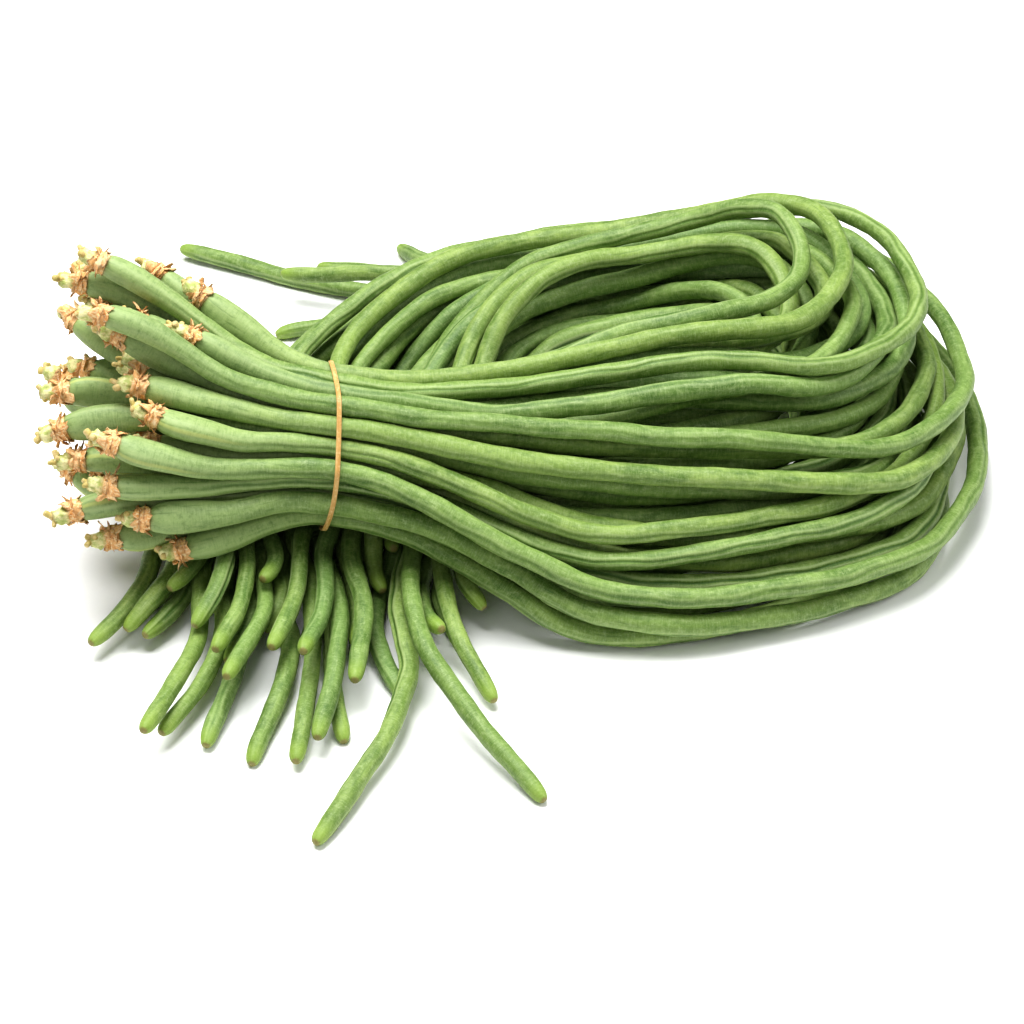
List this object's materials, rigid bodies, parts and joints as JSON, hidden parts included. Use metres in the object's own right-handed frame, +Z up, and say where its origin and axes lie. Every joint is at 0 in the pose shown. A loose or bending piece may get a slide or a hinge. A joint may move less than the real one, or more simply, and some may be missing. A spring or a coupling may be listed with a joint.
{
  "type": "yardlong bean bunch",
  "caption": "A looped bunch of fresh green yardlong beans, tied near the stem ends with a thin orange rubber band.",
  "frame": {"origin": "under the middle of the bunch's bounding box, on the surface that it rests on", "axes": "+Z up; the tied stem ends point to -X and the loop turns at +X; the tips fan out towards -Y"},
  "size_m": [0.2928, 0.3132, 0.0957],
  "materials": {
    "pod": "matte",
    "band": "satin"
  },
  "bodies": {
    "root": {"bean_01": "pod", "bean_02": "pod", "bean_03": "pod", "bean_04": "pod", "bean_05": "pod", "bean_06": "pod", "bean_07": "pod", "bean_08": "pod", "bean_09": "pod", "bean_10": "pod", "bean_11": "pod", "bean_12": "pod", "bean_13": "pod", "bean_14": "pod", "bean_15": "pod", "bean_16": "pod", "bean_17": "pod", "bean_18": "pod", "bean_19": "pod", "bean_20": "pod", "bean_21": "pod", "bean_22": "pod", "bean_23": "pod", "bean_24": "pod", "bean_25": "pod", "bean_26": "pod", "bean_27": "pod", "bean_28": "pod", "bean_29": "pod", "bean_30": "pod", "bean_31": "pod", "bean_32": "pod", "bean_33": "pod", "bean_34": "pod", "bean_35": "pod", "bean_36": "pod", "bean_37": "pod", "bean_38": "pod", "bean_39": "pod", "bean_40": "pod", "rubber_band": "band"}
  },
  "joints": []
}
